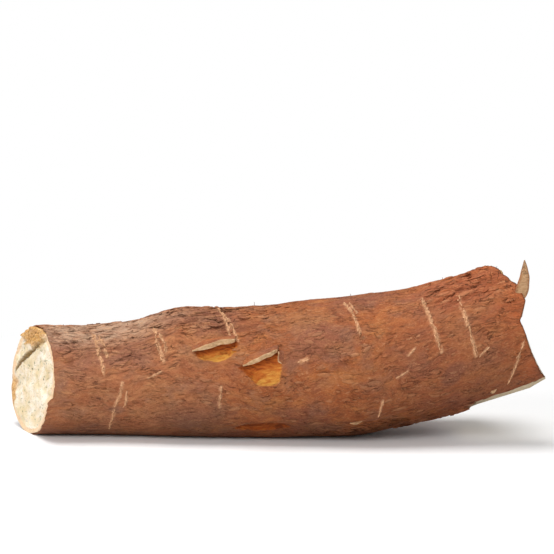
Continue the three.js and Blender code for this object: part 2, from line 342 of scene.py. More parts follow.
def bark_relief(x, angle):
    """The bark's height over the smooth skin, and a dictionary of its marks, each 0 to 1."""
    place = rolled(x, angle)
    gnarled = sum(smooth(spot(x, angle, *where), 0, 0.6) for where in GNARLED)
    gnarled = np.clip(gnarled, 0, 1) * (0.75 + 0.5 * noise(place, 18, 5.0))

    # Long folds with deep cracks where the bark is coarse, and short dashes and a fine ripple all over.
    swell = 0.9 * noise(place, SWELLS, 1.5)
    wavy = place + np.stack([0 * x, 2.6 * noise(place, 15, 9.0), 2.6 * noise(place, 15, 13.0)], -1)
    long_folds = np.abs(noise(wavy, LONG_FOLDS, 2.0))
    crack_places = smooth(noise(place, (14, 8, 8), 27.0), -0.7, 0)
    long_crack = smooth(0.16 - long_folds, 0, 0.15) * gnarled * crack_places
    dash_places = smooth(noise(place, (16, 9, 9), 7.0), -0.6, 0.1)
    dash = smooth(noise(wavy, DASHES, 4.0), 0.3, 0.6) * dash_places
    ripple = noise(wavy, RIPPLES, 6.0)
    folds = gnarled * 2.8 * (np.minimum(long_folds, 0.5) - 0.3) + (0.22 + 0.3 * gnarled) * ripple

    # Flaky scales, each at its own height and turned up along its rim.
    from_rim, draws = scales(wavy, FLAKY_SCALES, 3.0)
    flaky = 0.25 + 0.75 * gnarled
    lift = flaky * (0.34 * (draws[:, 3] - 0.5) + 0.2 * smooth(0.35 - from_rim, 0, 0.35))
    grain = 0.08 * noise(place, FINE_GRAIN, 6.0)
    height = swell + folds + lift + grain - CRACK_DEPTH * long_crack - DASH_DEPTH * dash
    crack = np.clip((0.75 - 0.3 * smooth(x, 40, 90)) * long_crack + 0.5 * dash, 0, 1)

    # Scars, raised and broken into short lengths.
    scarred = np.zeros(len(x))
    for line, width in SCARS:
        near = 1 - line_distance(x, angle, line) / (width / 2 + 0.7)
        scarred = np.maximum(scarred, near)
    broken = smooth(noise(place, (1.6, 4, 4), 11.0), -0.4, 0.2)
    height += SCAR_HEIGHT * smooth(scarred, 0, 0.9) * (0.3 + 0.7 * broken)
    scarred = 0.85 * smooth(scarred, 0, 0.75) * broken

    # Scraped places, with a nearly smooth floor.
    bare = np.zeros(len(x))
    inner = np.zeros(len(x))
    for depth, outline, shade_line, paling in BARE_PATCHES:
        inside = depth_inside(x, angle, outline) + 0.5 * noise(place, (3, 2, 2), 15.0)
        share = smooth(inside, -0.3, 2.0)
        floor = -depth + 0.25 * noise(place, (6, 2.0, 2.0), 17.0)
        height = height * (1 - share) + floor * share
        bare = np.maximum(bare, smooth(inside, -0.3, 0.4))
        # The share of the way from the shade line: 0 there, where the painted shade is darkest.
        inner = np.where(inside > -1, smooth(line_distance(x, angle, shade_line), 0, paling), inner)

    # The peeled edge, a little under the bark.
    bark_side = np.interp(x, *zip(*PEELED_EDGE)) + 1.0 * noise(place, 3, 19.0)
    peeled = smooth(angle - bark_side, 0, 0.8) * (angle < PEELED_TO)
    peeled *= smooth(x, PEELED_EDGE[0][0], PEELED_EDGE[0][0] + 3)
    height = height * (1 - peeled) - 0.3 * peeled

    # Underneath, where the root rests, the bark is worn level, and its lower side is darkened with painted
    # shade.
    level = smooth(np.abs(turn_from(angle, 270)), 12, 26)
    left = 1 - np.maximum(bare, peeled)
    marks = {
        "crack": crack * left,
        "scar": scarred * left,
        "bare": bare,
        "inner": inner,
        "peeled": peeled,
        "coarse": np.clip(gnarled, 0, 1),
        "weathered": np.maximum(blotches(x, angle, WEATHERED), 0.16 * smooth(-x, 0, 70)),
        # Painted shade: darker towards the lower side, and less so towards the thin end.
        "underside_shade": smooth(-np.sin(np.radians(angle)), -0.15, 0.95) * (1 - 0.35 * smooth(-x, 50, 100)),
        "warm": np.maximum(blotches(x, angle, WARM), 0.3 * smooth(x, 40, 100)),
        "dusky_and_shade": blotches(x, angle, DUSKY_AND_SHADE),
    }
    return height * level, marks


def corners_of(piece):
    """A piece's corners, as rows of x, y and z."""
    corners = np.empty(3 * len(piece.data.vertices))
    piece.data.vertices.foreach_get("co", corners)
    return corners.reshape(-1, 3)


def globe(name, around, rows):
    """Adds a closed globe. Returns it, each corner's row from its first pole, and its angle in degrees."""
    bpy.ops.mesh.primitive_uv_sphere_add(segments=around, ring_count=rows, radius=1)
    piece = bpy.context.object
    piece.name = piece.data.name = name
    bpy.ops.object.shade_smooth()
    x, y, z = corners_of(piece).T
    row = np.rint(np.degrees(np.arccos(np.clip(z, -1, 1))) * rows / 180).astype(int)
    return piece, row, np.degrees(np.arctan2(y, x)) % 360


def shape(piece, points):
    """Moves a piece's corners to places in the drawing."""
    in_frame = (points + (DRAWING_X, DRAWING_Y, 0)) / 1000
    piece.data.vertices.foreach_set("co", in_frame.astype(np.float32).ravel())
    piece.data.update()


def mark(piece, name, values):
    """Keeps a value, or a vector, for each corner of a piece, for its material."""
    kind, field = ("FLOAT", "value") if values.ndim == 1 else ("FLOAT_VECTOR", "vector")
    attribute = piece.data.attributes.new(name, kind, "POINT")
    attribute.data.foreach_set(field, values.astype(np.float32).ravel())


hidden_rows = len(HIDDEN_SHARES)
bark, row, angle = globe("root_bark", AROUND, BARK_ROWS + 2 * hidden_rows)
along = np.clip((row - hidden_rows) / BARK_ROWS, 0, 1)
round_place = rolled(0 * angle, angle)
ragged_edge = 0.5 * noise(round_place, 4, 21.0) + 0.35 * noise(round_place, 1.6, 23.0)
from_x = stout_edge(angle) - EDGE_INSET + ragged_edge
to_x = thin_edge(angle) + EDGE_INSET + ragged_edge
x = from_x + (to_x - from_x) * along
height, marks = bark_relief(x, angle)
points = skin(x, angle, height)
# The rows past each edge turn in and go down behind the broken face, as it sinks.
stout_side = (hidden_rows - row, STOUT_END_HOLLOW - BEHIND_HOLLOW, -1, STOUT_SINK_POWER)
thin_side = (row - hidden_rows - BARK_ROWS, THIN_END, 1, 1)
for past, end_x, inward, power in (stout_side, thin_side):
    beyond = past > 0
    share = np.array(HIDDEN_SHARES)[np.clip(hidden_rows - past[beyond], 0, hidden_rows - 1)]
    y, z, _ = section(np.full(share.shape, float(end_x)))
    rim = points[beyond]
    sunk = np.where(share < HIDDEN_SHARES[-1], HIDDEN_DEPTH, LIP_DEPTH)
    rim[:, 0] = end_x + (rim[:, 0] - end_x) * share**power + inward * sunk
    rim[:, 1] = y + (rim[:, 1] - y) * share
    rim[:, 2] = z + (rim[:, 2] - z) * share
    points[beyond] = rim
shape(bark, points)
# The grain wanders off the root's length as the cracks do.
grain_place = rolled(x, angle)
wander = np.stack([0 * x, noise(grain_place, 14, 9.0), noise(grain_place, 14, 13.0)], -1)
ripple = np.stack([0 * x, noise(grain_place, 5, 33.0), noise(grain_place, 5, 36.0)], -1)
mark(bark, "grain", grain_place + GRAIN_WANDER * wander + GRAIN_RIPPLE * ripple)
for mark_name, values in marks.items():
    mark(bark, mark_name, values)
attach(bark, "root")
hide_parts("cassava_root")


def colour(hex_code):
    """A linear colour from its sRGB hex code."""
    parts = [int(hex_code[i : i + 2], 16) / 255 for i in (1, 3, 5)]
    return [c / 12.92 if c <= 0.04045 else ((c + 0.055) / 1.055) ** 2.4 for c in parts] + [1]


def add_node(tree, kind, links, output=0, stops=(), **settings):
    """Adds a node with its settings, and returns one of its outputs. links gives what each input takes: a
    value, or another node's output. stops are a colour ramp's places, each with a hex code or a grey."""
    node = tree.nodes.new("ShaderNode" + kind)
    for name, value in settings.items():
        setattr(node, name, value)
    for name, value in links.items():
        if isinstance(value, bpy.types.NodeSocket):
            tree.links.new(value, node.inputs[name])
        else:
            node.inputs[name].default_value = value
    for number, (place, value) in enumerate(stops):
        if number > 1:
            node.color_ramp.elements.new(1)
        element = node.color_ramp.elements[number]
        element.position = place
        element.color = colour(value) if isinstance(value, str) else (value, value, value, 1)
    return node.outputs[output] if node.outputs else None


def new_material(name):
    """A material with an empty tree. Returns both."""
    material = bpy.data.materials.new(name)
    material.use_nodes = True
    material.node_tree.nodes.clear()
    return material, material.node_tree


def patterns_for(tree, place, rows, kept):
    """Adds noise patterns, and the marks that a piece keeps for each corner. Each row has a pattern's name,
    its lumps' size in mm along each axis, detail, seed, roughness and distortion."""
    patterns = {}
    for name, sizes, detail, seed, roughness, distortion in rows:
        moved = add_node(tree, "Mapping", {
            "Vector": place,
            "Location": (seed, seed, seed),
            "Scale": tuple(1 / side for side in sizes),
        })
        patterns[name] = add_node(tree, "TexNoise", {
            "Vector": moved,
            "Scale": 1.0,
            "Detail": detail,
            "Roughness": roughness,
            "Distortion": distortion,
        }, "Fac")
    for name in kept:
        patterns[name] = add_node(tree, "Attribute", {}, "Fac", attribute_name=name)
    return patterns


def lay_colours(tree, base, patterns, layers):
    """Lays colours over a base, one after another. Each layer has the pattern it follows, how strongly it
    shows at the pattern's values, and its hex code, or a second pattern with the colours at its values."""
    for pattern, strengths, tint in layers:
        share = add_node(tree, "ValToRGB", {"Fac": patterns[pattern]}, stops=strengths)
        if isinstance(tint, str):
            tint = colour(tint)
        else:
            tint = add_node(tree, "ValToRGB", {"Fac": patterns[tint[0]]}, stops=tint[1:])
        base = add_node(tree, "Mix", {0: share, 6: base, 7: tint}, 2, data_type="RGBA", clamp_factor=True)
    return base


# Corky root bark, dry and scuffed. It is dull and mottled in reds, tans and browns, with short dark dashes
# lengthwise where it has split. The finest splits are drawn about twice as wide as real ones, or they
# wouldn't show.
def bark_material(kept):
    """The bark, and the rind under it where that shows. kept names the marks that it follows."""
    material, tree = new_material("dry_root_bark")
    grain = add_node(tree, "Attribute", {}, "Vector", attribute_name="grain")
    patterns = patterns_for(tree, grain, [
        ("broad", (40, 22, 22), 3, 3, 0.55, 0),
        ("cloudy", (26, 13, 13), 4, 19, 0.55, 0),
        ("greyed", (15, 9, 9), 4, 31, 0.55, 0),
        ("middling", (9, 4.5, 4.5), 5, 7, 0.6, 0),
        ("streaks", (7, 1.5, 1.5), 4, 1, 0.6, 0),
        ("flecks", (2.2, 1.1, 1.1), 4, 5, 0.65, 0),
        ("fine", (1.3, 0.45, 0.45), 3, 29, 0.6, 0),
        ("splits", (5, 1.0, 1.0), 3, 11, 0.6, 0.6),
        ("hairlines", (16, 1.9, 1.9), 3, 37, 0.5, 0),
        ("split_places", (13, 8, 8), 3, 23, 0.55, 0),
        ("threads", (9, 2.2, 2.2), 3, 43, 0.5, 0.8),
        ("thread_places", (8, 5, 5), 2, 47, 0.55, 0),
        ("fibres", (6, 1.3, 1.3), 4, 17, 0.55, 0),
    ], kept)

    # Short splits and hairlines, in some places only, beside the cracks that are in the mesh.
    split = add_node(tree, "ValToRGB", {"Fac": patterns["splits"]}, stops=[(0.355, 1.0), (0.39, 0.0)])
    hair_stops = [(0.486, 0.0), (0.5, 0.8), (0.514, 0.0)]
    hairline = add_node(tree, "ValToRGB", {"Fac": patterns["hairlines"]}, stops=hair_stops)
    either = add_node(tree, "Math", {0: split, 1: hairline}, operation="MAXIMUM")
    place_stops = [(0.42, 0.0), (0.6, 0.75)]
    split_place = add_node(tree, "ValToRGB", {"Fac": patterns["split_places"]}, stops=place_stops)
    links = {0: patterns["coarse"], 1: 0.55, 2: split_place}
    split_place = add_node(tree, "Math", links, operation="MULTIPLY_ADD", use_clamp=True)
    either = add_node(tree, "Math", {0: either, 1: split_place}, operation="MULTIPLY")
    patterns["cracks"] = add_node(tree, "Math", {0: either, 1: patterns["crack"]}, operation="MAXIMUM")
    # Loose threads of pale fibre, tangled in some places.
    thread_stops = [(0.488, 0.0), (0.5, 0.6), (0.512, 0.0)]
    thread = add_node(tree, "ValToRGB", {"Fac": patterns["threads"]}, stops=thread_stops)
    tangle_stops = [(0.52, 0.0), (0.62, 1.0)]
    tangle = add_node(tree, "ValToRGB", {"Fac": patterns["thread_places"]}, stops=tangle_stops)
    patterns["loose"] = add_node(tree, "Math", {0: thread, 1: tangle}, operation="MULTIPLY")
    # Grey where it is weathered. Each scraped place is fibrous, and dark with painted shade under its upper
    # edge, paling towards its low side.
    links = {0: patterns["middling"], 1: patterns["weathered"]}
    patterns["worn"] = add_node(tree, "Math", links, operation="MULTIPLY")
    fibrous = add_node(tree, "MapRange", {"Value": patterns["fibres"], "To Min": -0.8, "To Max": 0.8})
    links = {0: fibrous, 1: patterns["inner"]}
    patterns["paling"] = add_node(tree, "Math", links, operation="ADD", use_clamp=True)

    tans = [(0.32, "#934F2C"), (0.5, "#A15B33"), (0.68, "#AE6A3C")]
    base = add_node(tree, "ValToRGB", {"Fac": patterns["middling"]}, stops=tans)
    full = [(0.0, 0.0), (1.0, 1.0)]
    base = lay_colours(tree, base, patterns, [
        ("broad", [(0.45, 0.0), (0.6, 0.7)], "#835140"),
        ("cloudy", [(0.5, 0.0), (0.68, 0.55)], "#AD7243"),
        ("greyed", [(0.52, 0.0), (0.66, 0.45)], "#85604C"),
        # Dark blotches, the broad ones on the right of the front being painted shade.
        ("dusky_and_shade", [(0.0, 0.0), (1.0, 0.85)], "#744D3F"),
        ("warm", [(0.0, 0.0), (1.0, 0.6)], "#B25C33"),
        ("worn", [(0.0, 0.0), (0.3, 0.5), (0.55, 1.0)], "#BC9A80"),
        ("streaks", [(0.34, 0.5), (0.48, 0.0)], "#74452B"),
        ("streaks", [(0.58, 0.0), (0.76, 0.45)], "#BE8558"),
        ("flecks", [(0.3, 0.35), (0.44, 0.0)], "#6A3D26"),
        ("flecks", [(0.6, 0.0), (0.72, 0.35)], "#C79067"),
        ("fine", [(0.34, 0.45), (0.46, 0.0)], "#6E4029"),
        ("fine", [(0.56, 0.0), (0.7, 0.4)], "#C88F62"),
        # The flakes' tone: pale by chance, with a painted highlight towards their lifted sides.
        ("tone_and_highlight", [(0.0, 0.0), (1.0, 0.5)], "#C08B63"),
        ("cracks", [(0.0, 0.0), (1.0, 0.8)], "#542C1A"),
        ("loose", full, "#CC9468"),
        ("scar", full, ("flecks", (0.35, "#B37D56"), (0.58, "#DDAC83"))),
        # Scraped places: dark with painted shade under their upper edges, paling to the rind's orange and
        # yellow.
        ("bare", full, ("paling", (0.0, "#7A3811"), (0.35, "#B0571F"), (0.7, "#C3732E"), (1.0, "#D69844"))),
        ("peeled", full, ("flecks", (0.3, "#DFC79D"), (0.7, "#EADCC0"))),
        ("rind", full, ("flecks", (0.32, "#A98358"), (0.5, "#C7A077"), (0.68, "#DDBB92"))),
    ])
    # Painted shade darkens the lower side.
    shade_share = add_node(tree, "ValToRGB", {"Fac": patterns["underside_shade"]}, stops=[(0.0, 0.0), (1.0, 0.41)])
    links = {0: shade_share, 6: base, 7: colour("#4A2D1C")}
    base = add_node(tree, "Mix", links, 2, data_type="RGBA", blend_type="MULTIPLY")

    ridges = add_node(tree, "Math", {0: patterns["streaks"], 1: patterns["flecks"]}, operation="ADD")
    links = {0: patterns["cracks"], 1: -1.2, 2: ridges}
    relief = add_node(tree, "Math", links, operation="MULTIPLY_ADD")
    dullness = add_node(tree, "ValToRGB", {"Fac": patterns["streaks"]}, stops=[(0.3, 0.72), (0.7, 0.9)])
    shader = add_node(tree, "BsdfPrincipled", {
        "Base Color": base,
        "Roughness": dullness,
        "IOR": 1.4,
        "Specular IOR Level": 0.25,
        "Normal": add_node(tree, "Bump", {"Height": relief, "Strength": 1.0, "Distance": 0.00045}),
    })
    add_node(tree, "OutputMaterial", {"Surface": shader})
    return material


bark.data.materials.append(bark_material([*marks, "tone_and_highlight", "rind"]))

# The two broken ends: crisp, starchy white flesh inside a ring of paler, fibrous rind. The thin end snapped
# nearly flat with a gash across it, and the stout end tore off the stem in two levels. Each face is the
# front of a thin plug of flesh that sits inside the bark.

FACE_AROUND = 240
FACE_ROWS = 96
# The rows of a plug's hidden back, as shares of the way out from its middle, and how thick the plug is.
BACK_SHARES = [0.97, 0.92, 0.5, 0]
PLUG_DEPTH = 5
PLUG_SUNK = 0.5
PLUG_INSET = 0.8
# The ring of rind stands out a little, and a groove parts it from the flesh.
RING_HEIGHT = 0.5
GROOVE_DEPTH = 0.5
GROOVE_HALF_WIDTH = 0.7
# The gash across the thin end's face, as places in y and z, and the dark olive band along it, partly stain
# and partly painted shade.
GASH = [(-13, 56), (-6, 52), (2, 48), (10, 43.5), (18, 38), (26, 31)]
GASH_HALF_WIDTH = 0.9
GASH_DEPTH = 2.4
STAIN_AND_SHADE_HALF_WIDTH = 2.6
# The tan lump near the top of that face, in y and z, and a tan blotch on its edge, by angle and share.
LUMP_MIDDLE = (5, 56.5)
LUMP_REACH = (18, 10)
LUMP_HEIGHT = 2.6
BLOTCH_MIDDLE = (335, 0.97)
BLOTCH_REACH = (26, 0.22)
# The stout end's two levels, the crevice between them, and the tan lump on its edge.
LOWER_LEVEL = STOUT_END_HOLLOW - 4
STEP_HEIGHT = 6
CREVICE_HALF_WIDTH = 2.6
CREVICE_DEPTH = 1.4
EDGE_LUMP_MIDDLE = (100, 0.96)
EDGE_LUMP_REACH = (34, 0.16)
EDGE_LUMP_HEIGHT = 1.2


def torn(y, z, seed):
    """How far a torn face stands out of its plane: broad waves, flat chips and a chalky grain."""
    place = np.stack([y, z, np.full(np.shape(y), seed)], -1)
    from_rim, draws = scales(place + 0.8 * noise(place, 4, seed)[:, None], 6, seed)
    chips = (draws[:, 0] - 0.5) * 1.3 + (draws[:, 1] - 0.5) * 0.3 * np.sin(0.6 * y + 9 * draws[:, 2])
    ribs = np.abs(noise(place, (3, 7, 3), seed + 2))
    waves = 2.6 * noise(place, 13, seed) + 1.2 * noise(place, 5, seed + 4)
    return waves + chips * smooth(from_rim, 0, 0.15) + 1.1 * ribs + 0.2 * noise(place, 1.1, seed)


def face_plan(share, angle, edge, sunk, end_x):
    """Where a broken face is: its rim's x, its points' y and z, the section's middle as y and z, the ring
    of rind and the groove inside the ring. share is 1 at the face's edge and 0 in its middle."""
    rim = skin(edge + sunk, angle, bark_relief(edge, angle)[0] - PLUG_INSET)
    y0, z0, half = section(np.full(share.shape, float(end_x)))
    y, z = y0 + (rim[:, 1] - y0) * share, z0 + (rim[:, 2] - z0) * share
    inward = (1 - share) * half
    ragged = 0.4 * noise(np.stack([y, z, 0 * y], -1), 3, 1.0)
    ring = smooth(RIND_THICKNESS - inward + ragged, -0.3, 0.3)
    groove = smooth(1 - np.abs(inward - RIND_THICKNESS) / GROOVE_HALF_WIDTH)
    return rim[:, 0], y, z, y0, z0, ring, groove


def thin_face(share, angle):
    """A point on the thin end's face, and its marks."""
    rim_x, y, z, _, _, ring, groove = face_plan(share, angle, thin_edge(angle), PLUG_SUNK, THIN_END)
    level = THIN_END + (rim_x - THIN_END) * share
    place = np.stack([y, z, 0 * y], -1)
    to_gash = np.full(share.shape, 99.0)
    for (y1, z1), (y2, z2) in zip(GASH, GASH[1:]):
        to_gash = np.minimum(to_gash, off_stretch(y - y1, z - z1, y2 - y1, z2 - z1))
    to_gash = np.abs(to_gash + 0.8 * noise(place, 4, 3.0) + 0.4 * noise(place, 1.6, 4.0))
    gash = smooth(1 - to_gash / (2 * GASH_HALF_WIDTH)) * (0.25 + 0.75 * smooth(y, -14, 2))
    stain_and_shade = smooth(1 - to_gash / STAIN_AND_SHADE_HALF_WIDTH, 0, 0.7) * smooth(y, -10, 6)
    lump = oval(y - LUMP_MIDDLE[0], z - LUMP_MIDDLE[1], LUMP_REACH) + 0.2 * noise(place, 3, 8.0)
    lump = smooth(lump, 0, 0.3)
    blotch = oval(turn_from(angle, BLOTCH_MIDDLE[0]), share - BLOTCH_MIDDLE[1], BLOTCH_REACH)
    out = torn(y, z, 3.5) * (1 - 0.75 * ring) + RING_HEIGHT * ring - GROOVE_DEPTH * groove
    out += LUMP_HEIGHT * lump * (0.7 + 0.9 * noise(place, 3, 2.0)) - GASH_DEPTH * gash
    marks = {
        "rind": ring,
        # An olive stain along the gash, with painted shade inside it.
        "gash": np.maximum(gash, stain_and_shade),
        "ochre": np.maximum(lump, 0.9 * smooth(blotch, 0, 0.6)),
        "aged": np.ones(len(share)),
    }
    return np.stack([level - out, y, z], -1), marks


def stout_face(share, angle):
    """A point on the stout end's face, and its marks."""
    plan = face_plan(share, angle, stout_edge(angle), -PLUG_SUNK, STOUT_END_HOLLOW)
    rim_x, y, z, y0, z0, ring, groove = plan
    place = np.stack([y, z, 0 * y], -1)
    across = z - z0 + 0.5 * (y - y0) + 5 * noise(place, 11, 5.0)
    step = STEP_HEIGHT * smooth(across, -1.6, 1.6)
    floor = LOWER_LEVEL + 0.1 * (z - z0) + step + 1.2 * torn(y, z, 8.5)
    level = floor + (rim_x - floor) * share**STOUT_SINK_POWER
    crevice = smooth(1 - np.abs(across) / CREVICE_HALF_WIDTH) * smooth(noise(place, 9, 6.0), -0.3, 0.3)
    off_lump = turn_from(angle, EDGE_LUMP_MIDDLE[0])
    edge_lump = smooth(oval(off_lump, share - EDGE_LUMP_MIDDLE[1], EDGE_LUMP_REACH), 0, 0.7)
    out = RING_HEIGHT * ring - GROOVE_DEPTH * groove - CREVICE_DEPTH * crevice
    out += EDGE_LUMP_HEIGHT * edge_lump
    marks = {
        "rind": ring,
        # Painted shade in the crevice between the two levels.
        "gash": 0.6 * crevice,
        "ochre": 0.8 * edge_lump,
        "aged": np.full(len(share), 0.4),
    }
    return np.stack([level + out, y, z], -1), marks


# Raw cassava flesh: crisp, starchy and a little moist. Light goes a short way into it, it is chalky where
# it tore, and small brown specks show where vessels end and where it has begun to spoil.
VESSEL_SPACING = 3.1


def flesh_material():
    """The flesh, with the ring of rind round it, what has stained it, and painted shade in its gash and
    crevice.
    """
    material, tree = new_material("raw_starchy_flesh")
    in_metres = add_node(tree, "TexCoord", {}, "Object")
    place = add_node(tree, "VectorMath", {0: in_metres, "Scale": 1000.0}, operation="SCALE")
    patterns = patterns_for(tree, place, [
        ("cloud", (6, 6, 6), 4, 2, 0.55, 0),
        ("chalk", (1.1, 1.1, 1.1), 4, 6, 0.65, 0),
        ("mould", (2.2, 3.4, 1.6), 3, 9, 0.55, 0),
    ], ["aged", "rind", "ochre", "gash"])
    # Dull specks, and one vessel's end in five, on the face that has aged.
    mould = add_node(tree, "ValToRGB", {"Fac": patterns["mould"]}, stops=[(0.33, 0.8), (0.385, 0.0)])
    patterns["stained"] = add_node(tree, "Math", {0: mould, 1: patterns["aged"]}, operation="MULTIPLY")
    cells = {"Vector": place, "Scale": 1 / VESSEL_SPACING, "Randomness": 1.0}
    vessels = add_node(tree, "TexVoronoi", cells, "Distance")
    dot = add_node(tree, "ValToRGB", {"Fac": vessels}, stops=[(0.12, 1.0), (0.24, 0.0)])
    cell_draw = add_node(tree, "SeparateColor", {0: vessels.node.outputs["Color"]})
    some = add_node(tree, "Math", {0: cell_draw, 1: 0.8}, operation="GREATER_THAN")
    dot = add_node(tree, "Math", {0: dot, 1: some}, operation="MULTIPLY")
    patterns["vessels"] = add_node(tree, "Math", {0: dot, 1: patterns["aged"]}, operation="MULTIPLY")

    creams = [(0.34, "#DCC89F"), (0.47, "#E6D5B8"), (0.6, "#EEE3D2")]
    base = add_node(tree, "ValToRGB", {"Fac": patterns["cloud"]}, stops=creams)
    full = [(0.0, 0.0), (1.0, 1.0)]
    base = lay_colours(tree, base, patterns, [
        ("chalk", [(0.34, 0.75), (0.47, 0.0)], "#CBB78C"),
        ("stained", full, "#99936F"),
        ("vessels", full, "#787357"),
        ("rind", full, ("chalk", (0.3, "#DDB48A"), (0.65, "#EFD3B0"))),
        ("ochre", full, ("chalk", (0.32, "#8F6636"), (0.48, "#C2914F"), (0.65, "#DDB480"))),
        # The gash: an olive stain, darkened inside the gash and the crevice as painted shade.
        ("gash", full, ("chalk", (0.3, "#5E4A1E"), (0.65, "#A07B3E"))),
    ])
    relief = add_node(tree, "Math", {0: patterns["cloud"], 1: patterns["chalk"]}, operation="ADD")
    dullness = add_node(tree, "ValToRGB", {"Fac": patterns["chalk"]}, stops=[(0.3, 0.42), (0.7, 0.62)])
    shader = add_node(tree, "BsdfPrincipled", {
        "Base Color": base,
        "Roughness": dullness,
        "IOR": 1.4,
        "Subsurface Weight": 0.25,
        "Subsurface Radius": (1.0, 0.7, 0.4),
        "Subsurface Scale": 0.002,
        "Normal": add_node(tree, "Bump", {"Height": relief, "Strength": 0.7, "Distance": 0.0003}),
    })
    add_node(tree, "OutputMaterial", {"Surface": shader})
    return material


flesh = flesh_material()
for name, face, inward in (("thin_end_flesh", thin_face, 1), ("stout_end_flesh", stout_face, -1)):
    plug, row, angle = globe(name, FACE_AROUND, FACE_ROWS + len(BACK_SHARES))
    # The globe's first pole is towards the stout end, so the thin end's face is at the other one.
    from_middle = row if inward < 0 else FACE_ROWS + len(BACK_SHARES) - row
    back = from_middle - FACE_ROWS
    share = np.minimum(from_middle / FACE_ROWS, 1.0)
    behind = back > 0
    share[behind] = np.array(BACK_SHARES)[np.clip(back[behind] - 1, 0, len(BACK_SHARES) - 1)]
    points, marks = face(share, angle)
    points[behind, 0] += inward * PLUG_DEPTH
    shape(plug, points)
    for mark_name, values in marks.items():
        mark(plug, mark_name, values)
    plug.data.materials.append(flesh)
    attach(plug, "root")
    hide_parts("cassava_root")

# The torn strips: two of rind that stand up along the upper edges of the scraped places, a fold beside the
# second place, and a curl and a chip low on the front. Each still hangs from the bark by one side, and its
# torn sides are pale rind.

# How far a strip's hinge is under the bark, and how far its sides slope in over its thickness.
HINGE_DEPTH = 3
BEVEL = 1.7
# Each strip's name, the two ends of its hinge, how far it reaches along and down the root, lift, thickness,
# taper, and how pale its outer side is.
STRIPS = [
    ("rind_strip_left", (-47, 138.5), (-21, 130.5), (0, 9.2), 3.8, 1.8, 0.12, 0.0),
    ("rind_strip_middle", (-20, 153.5), (2, 143.5), (0, 8.5), 4.2, 1.8, 0.16, 0.0),
    ("rind_fold", (8.5, 149), (7, 171), (-7, 0), 2.6, 1.2, 0.65, 0.0),
    ("rind_curl", (33, 223), (51, 219.5), (0, 0.6), 1.6, 0.6, 0.8, 0.6),
    ("rind_chip", (112, 223), (121.5, 218.5), (0, 1.5), 1.8, 0.7, 0.8, 0.9),
]


def slab(name, cuts):
    """Adds a block with finely cut sides, and gives its corners from -0.5 to 0.5."""
    bpy.ops.mesh.primitive_cube_add(size=1)
    piece = bpy.context.object
    piece.name = piece.data.name = name
    bpy.ops.object.mode_set(mode="EDIT")
    bpy.ops.mesh.subdivide(number_cuts=cuts)
    bpy.ops.object.mode_set(mode="OBJECT")
    bpy.ops.object.shade_smooth()
    return piece, corners_of(piece)


def finish_strip(piece, points, rind):
    """Gives a strip its shape, its bark and its place on the body. rind says how pale each corner is."""
    shape(piece, points)
    mark(piece, "grain", points)
    mark(piece, "rind", rind)
    piece.data.materials.append(bark.data.materials[0])
    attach(piece, "root")
    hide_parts("cassava_root")


for name, hinge_from, hinge_to, reach, lift, thickness, taper, paleness in STRIPS:
    strip, corners = slab(name, 27)
    along, out, up = corners.T
    free = 0.5 - out
    share = 0.5 + along * (1 - taper * free)
    wobble = noise(np.stack([20 * share, 2 * free, 0 * share], -1), 5, float(lift))
    x = hinge_from[0] + (hinge_to[0] - hinge_from[0]) * share + free * reach[0] * (1 + 0.2 * wobble)
    angle = hinge_from[1] + (hinge_to[1] - hinge_from[1]) * share
    # A strip's left end runs out thin and low, and its right end is torn off short.
    round_end = smooth(along, -0.52, -0.15) * (1 - 0.5 * smooth(along, 0.35, 0.5))
    slant = BEVEL * (0.15 + 0.85 * round_end) * (up + 0.5)
    angle += free * (reach[1] * (1 + 0.16 * wobble) - slant) / np.radians(section(x)[2])
    height = -HINGE_DEPTH + (lift * (0.35 + 0.65 * round_end) + HINGE_DEPTH) * free + 0.4 * wobble * free
    height += (up - 0.5) * thickness * (0.2 + 0.8 * round_end)
    inner = np.maximum(smooth(0.3 - up, 0, 0.1), smooth(free, 0.93, 0.97))
    finish_strip(strip, skin(x, angle, height), np.maximum(inner, paleness))

# The spike: a thin pointed splinter of rind that stood up when the root tore off its stem, on the upper
# side of the stout end's edge. It is pale and fibrous along its middle and brown with bark at its sides.

SPIKE_FOOT = (130, 140)
SPIKE_HEIGHT = 18
SPIKE_WIDTH = 7.5
SPIKE_THICKNESS = 1.8
SPIKE_ROOTED = 4

spike, corners = slab("rind_spike", 19)
across, upward, up = corners.T
share = upward + 0.5
narrow = (1 - 0.9 * share**2.2) * smooth(share, -0.3, 0.25)
foot = skin(SPIKE_FOOT[0], SPIKE_FOOT[1], -RIND_THICKNESS / 2)
wobble = noise(np.stack([0 * share, 4 * share, 0 * share], -1), 1.0, 3.0)
thinned = 1 - (2 * across) ** 4 * 0.7
points = np.stack([
    foot[0] + across * SPIKE_WIDTH * narrow + 1.2 * np.sin(np.pi * share) + 2.2 * share + 0.5 * wobble,
    foot[1] - up * SPIKE_THICKNESS * narrow * thinned - 1.5 * share + 1.5 * across * share,
    foot[2] - SPIKE_ROOTED + (SPIKE_HEIGHT + SPIKE_ROOTED) * share,
], -1)
finish_strip(spike, points, 0.75 - 0.6 * smooth(np.abs(across), 0.25, 0.5))

# The corky splinters: cork grew where fine side roots came out through the bark, and dried into short pale
# splinters that stand along each scar. They are small pointed grains, copied along the scars' lines.

SPLINTER_SPACING = 1.1
# A sine that runs this fast over x is as good as a toss for the side that a copy lifts on.
SIDE_TOSS = 977


